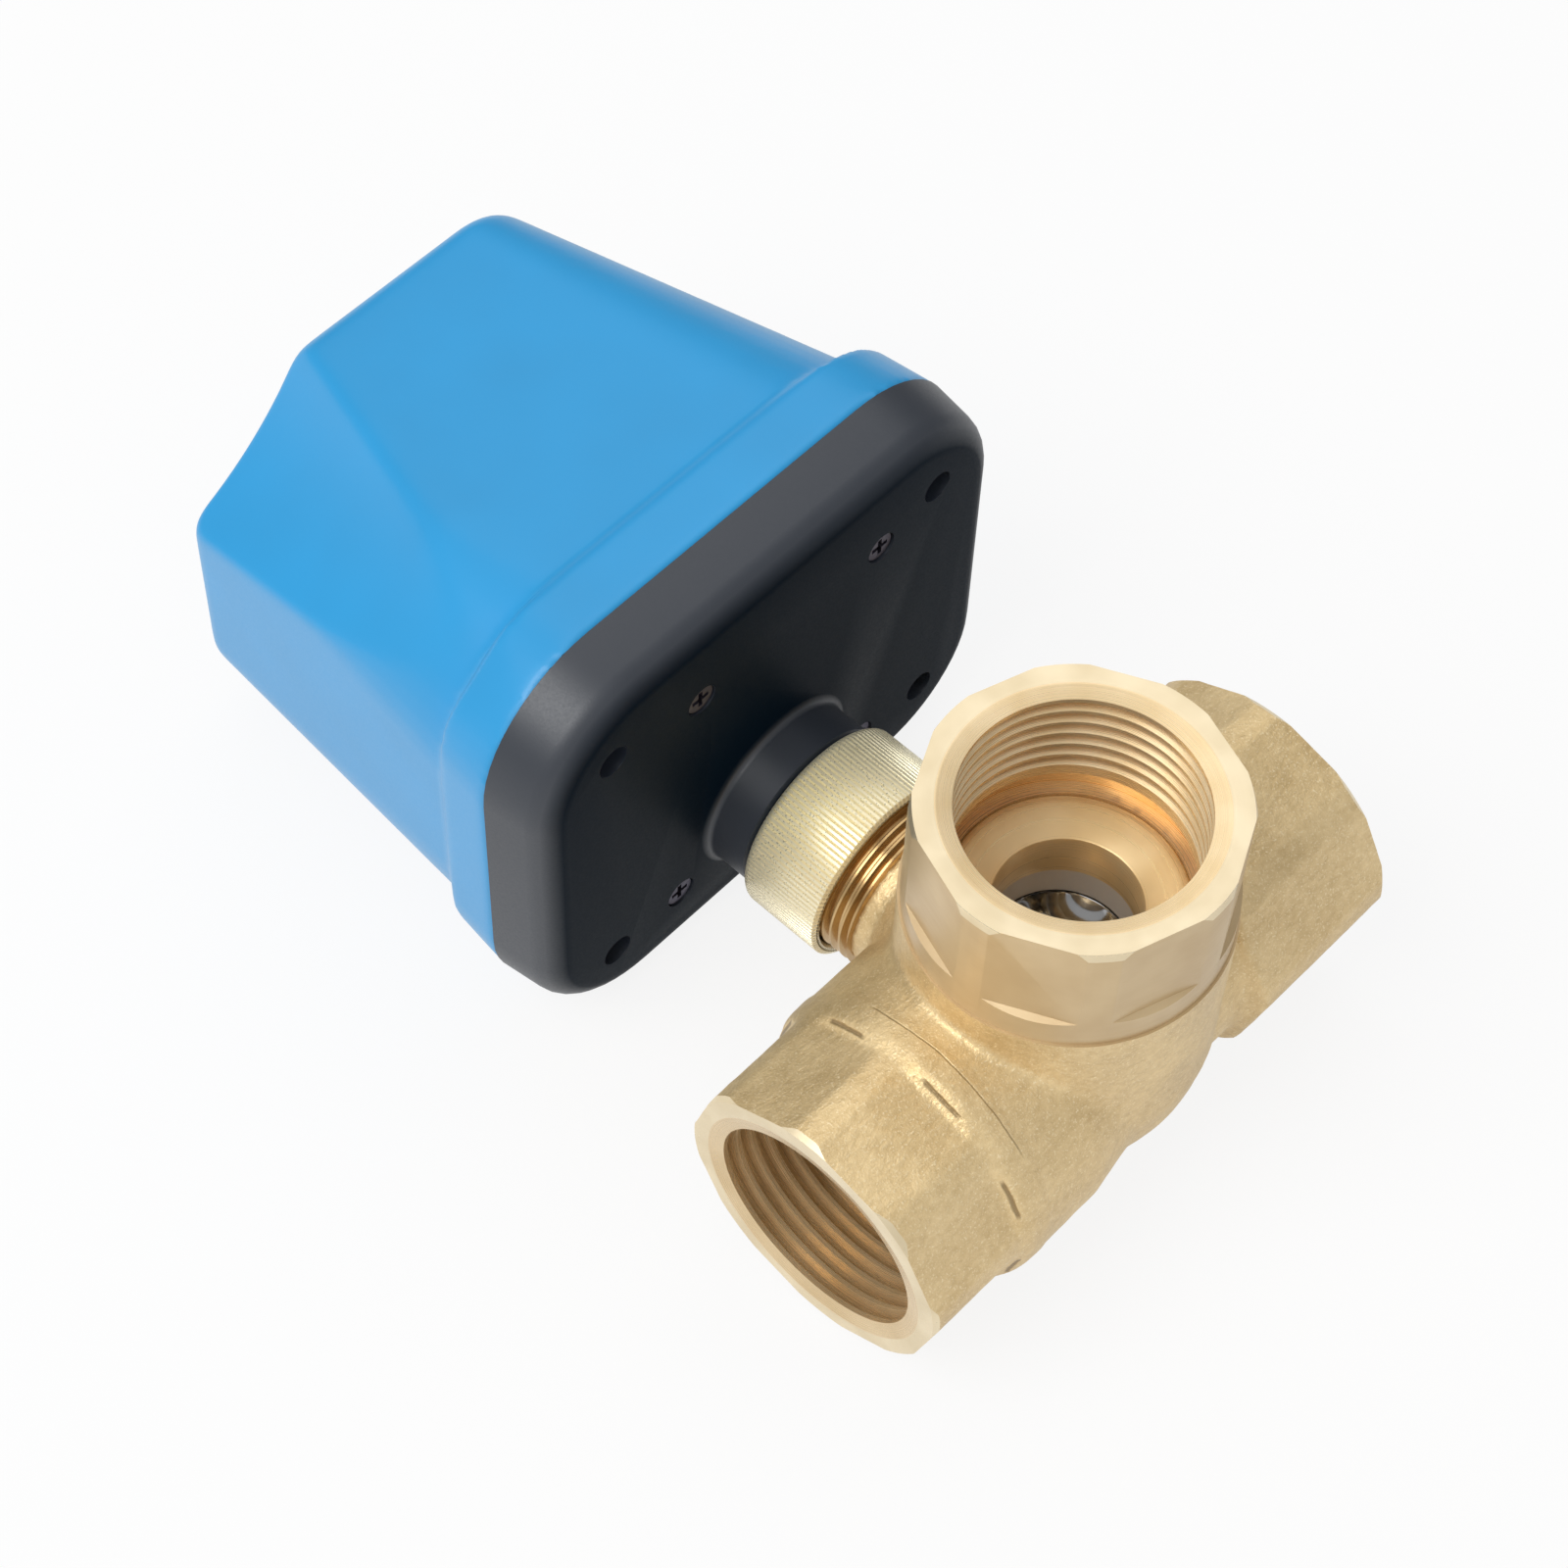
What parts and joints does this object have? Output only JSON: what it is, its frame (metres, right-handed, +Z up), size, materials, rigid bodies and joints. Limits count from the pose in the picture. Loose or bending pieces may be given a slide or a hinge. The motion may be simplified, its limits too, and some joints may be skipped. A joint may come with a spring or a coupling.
{
  "type": "motorized three-way ball valve",
  "caption": "Brass three-way ball valve with threaded ports, turned by a boxed electric actuator held on by a knurled union nut.",
  "frame": {"origin": "centre of the branch port's mouth", "axes": "+Z up out of the branch port, +Y along the run pipe to the far port, -X along the stem to the actuator"},
  "size_m": [0.1417, 0.0861, 0.0676],
  "materials": {
    "cast_brass": "cast, blasted",
    "turned_brass": "turned, satin",
    "chrome_ball": "polished",
    "seat_ptfe": "satin",
    "black_plastic": "satin",
    "blue_plastic": "satin",
    "black_rubber": "matte",
    "steel": "satin",
    "gear_plastic": "satin",
    "switch_plastic": "satin",
    "button_plastic": "satin",
    "copper_coil": "lacquered",
    "magnet": "matte",
    "board": "satin",
    "terminal_plastic": "satin",
    "capacitor_case": "satin"
  },
  "bodies": {
    "housing": {"valve_body": "cast_brass", "branch_insert": "turned_brass", "branch_seat": "seat_ptfe", "near_seat": "seat_ptfe", "far_seat": "seat_ptfe", "thrust_washer": "seat_ptfe", "nut_snap_ring": "steel", "base_plate": "black_plastic", "cover_gasket": "black_rubber", "cover": "blue_plastic", "cable_grommet": "black_rubber", "cover_screws": "steel", "frame_screws": "steel", "output_bush": "gear_plastic", "idler_arbor": "steel", "gear_plate": "steel", "motor_flange": "steel", "motor_can": "steel", "motor_coil": "copper_coil", "motor_screws": "steel", "near_switch": "switch_plastic", "far_switch": "switch_plastic", "circuit_board": "board", "board_posts": "gear_plastic", "terminal_block": "terminal_plastic", "capacitor": "capacitor_case"},
    "drive": {"ball": "chrome_ball", "stem": "turned_brass", "stem_o_rings": "black_rubber", "output_shaft": "steel", "output_gear": "gear_plastic", "switch_cam": "gear_plastic"},
    "idler": {"idler_gear": "gear_plastic"},
    "rotor": {"motor_rotor": "magnet", "motor_shaft": "steel", "motor_pinion": "steel"},
    "nut": {"union_nut": "turned_brass"},
    "near_button": {"near_switch_button": "button_plastic"},
    "far_button": {"far_switch_button": "button_plastic"}
  },
  "joints": [
    {"name": "ball_turn", "type": "hinge", "parent": "housing", "child": "drive", "pos_m": [0, 0, -0.0455], "axis": [-1, 0, 0], "range_deg": [0, 90]},
    {"name": "idler_turn", "type": "hinge", "parent": "housing", "child": "idler", "pos_m": [-0.0558, 0.01093, -0.03183], "axis": [-1, 0, 0], "range_deg": [-231.93, 0.5]},
    {"name": "rotor_turn", "type": "hinge", "parent": "housing", "child": "rotor", "pos_m": [-0.065, 0, -0.022], "axis": [-1, 0, 0], "range_deg": [-0.5, 463.36]},
    {"name": "nut_spin", "type": "hinge", "parent": "housing", "child": "nut", "pos_m": [-0.0343, 0, -0.0455], "axis": [1, 0, 0], "continuous": true},
    {"name": "near_button_press", "type": "slide", "parent": "housing", "child": "near_button", "axis": [0, -1, 0], "range_m": [0, 0.0008], "stiffness_N_per_m": 400},
    {"name": "far_button_press", "type": "slide", "parent": "housing", "child": "far_button", "axis": [0, 1, 0], "range_m": [0, 0.0008], "stiffness_N_per_m": 400}
  ],
  "couplings": [
    {"joint": "idler_turn", "follows": "ball_turn", "ratio": -2.5714},
    {"joint": "rotor_turn", "follows": "ball_turn", "ratio": 5.1429}
  ]
}
